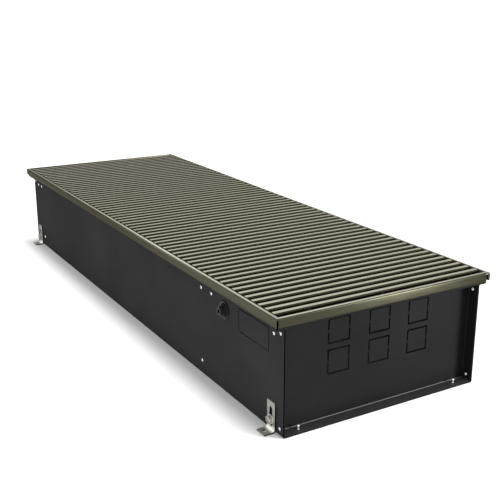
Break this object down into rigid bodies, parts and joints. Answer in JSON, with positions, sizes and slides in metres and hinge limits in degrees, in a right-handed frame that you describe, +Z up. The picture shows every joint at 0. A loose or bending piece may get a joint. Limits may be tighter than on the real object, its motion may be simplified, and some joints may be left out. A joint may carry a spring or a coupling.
{
  "type": "trench convector heater",
  "caption": "Fan-assisted floor trench convector: steel trough with a framed roll-up grille over a finned water coil and a cross-flow fan, on slotted levelling feet.",
  "frame": {"origin": "middle of the trough's underside", "axes": "+X along the trough towards the connection end, +Y towards the coil side, +Z up"},
  "size_m": [1, 0.345, 0.16],
  "materials": {
    "trough_paint": "black stove enamel",
    "plate_paint": "black stove enamel",
    "galvanised": "galvanised sheet",
    "rivet_alloy": "bright",
    "frame_alloy": "satin anodised",
    "key_steel": "zinc plated",
    "grille_rubber": "matt",
    "slat_alloy": "satin anodised",
    "spring_steel": "bright spring steel",
    "spacer_plastic": "matt",
    "grommet_rubber": "matt",
    "fin_aluminium": "mill finish",
    "tube_copper": "drawn copper",
    "fitting_brass": "turned brass",
    "screw_plated": "nickel plated",
    "fan_rubber": "matt",
    "bearing_bronze": "sintered bronze",
    "motor_paint": "satin black",
    "shaft_steel": "ground",
    "impeller_paint": "satin black",
    "box_plastic": "fine texture",
    "lid_plastic": "fine texture",
    "lid_screw_steel": "zinc plated",
    "terminal_plastic": "off-white",
    "stud_brass": "turned brass",
    "foot_steel": "zinc plated",
    "bolt_steel": "zinc plated",
    "nut_steel": "zinc plated"
  },
  "bodies": {
    "casing": {"trough": "trough_paint", "end_plate_right": "plate_paint", "end_plate_left": "plate_paint", "corner_stiffeners": "plate_paint", "connection_bulkhead": "galvanised", "far_bulkhead": "galvanised", "casing_rivets": "rivet_alloy", "frame_front": "frame_alloy", "frame_back": "frame_alloy", "frame_right": "frame_alloy", "frame_left": "frame_alloy", "frame_corner_keys": "key_steel", "grille_buffers": "grille_rubber", "cable_grommet": "grommet_rubber", "coil_fins": "fin_aluminium", "coil_tubes": "tube_copper", "coil_bends": "tube_copper", "coil_bracket_right": "galvanised", "coil_bracket_left": "galvanised", "flow_fitting": "fitting_brass", "return_fitting": "fitting_brass", "vent_body": "fitting_brass", "fan_scroll": "galvanised", "fan_side_plates": "galvanised", "fan_rubber_rings": "fan_rubber", "fan_bearings": "bearing_bronze", "fan_motor": "motor_paint", "motor_bracket": "galvanised", "control_box": "box_plastic", "terminal_block": "terminal_plastic", "earth_stud": "stud_brass", "foot_bolts": "bolt_steel", "foot_washers": "bolt_steel", "rivet_nuts": "nut_steel"},
    "grille": {"grille_slats": "slat_alloy", "grille_springs": "spring_steel", "grille_spacers": "spacer_plastic"},
    "fan_rotor": {"fan_shaft": "shaft_steel", "impeller_right": "impeller_paint", "impeller_left": "impeller_paint"},
    "vent_screw": {"vent_screw": "screw_plated"},
    "box_lid": {"control_box_lid": "lid_plastic", "lid_screws": "lid_screw_steel"},
    "foot_front_right": {"foot_front_right": "foot_steel"},
    "foot_front_left": {"foot_front_left": "foot_steel"},
    "foot_back_right": {"foot_back_right": "foot_steel"},
    "foot_back_left": {"foot_back_left": "foot_steel"}
  },
  "joints": [
    {"name": "grille_lift", "type": "slide", "parent": "casing", "child": "grille", "axis": [0, 0, 1], "range_m": [0, 0.2]},
    {"name": "fan_spin", "type": "hinge", "parent": "casing", "child": "fan_rotor", "pos_m": [-0.08175, -0.08, 0.062], "axis": [1, 0, 0], "continuous": true},
    {"name": "vent_screw_turn", "type": "hinge", "parent": "casing", "child": "vent_screw", "pos_m": [0.2975, 0.045, 0.118], "axis": [0, 0, 1], "range_deg": [0, 360]},
    {"name": "box_lid_lift", "type": "slide", "parent": "casing", "child": "box_lid", "axis": [0, 0, 1], "range_m": [0, 0.08]},
    {"name": "foot_front_right_level", "type": "slide", "parent": "casing", "child": "foot_front_right", "axis": [0, 0, -1], "range_m": [-0.005, 0.0136]},
    {"name": "foot_front_left_level", "type": "slide", "parent": "casing", "child": "foot_front_left", "axis": [0, 0, -1], "range_m": [-0.005, 0.0136]},
    {"name": "foot_back_right_level", "type": "slide", "parent": "casing", "child": "foot_back_right", "axis": [0, 0, -1], "range_m": [-0.005, 0.0136]},
    {"name": "foot_back_left_level", "type": "slide", "parent": "casing", "child": "foot_back_left", "axis": [0, 0, -1], "range_m": [-0.005, 0.0136]}
  ]
}
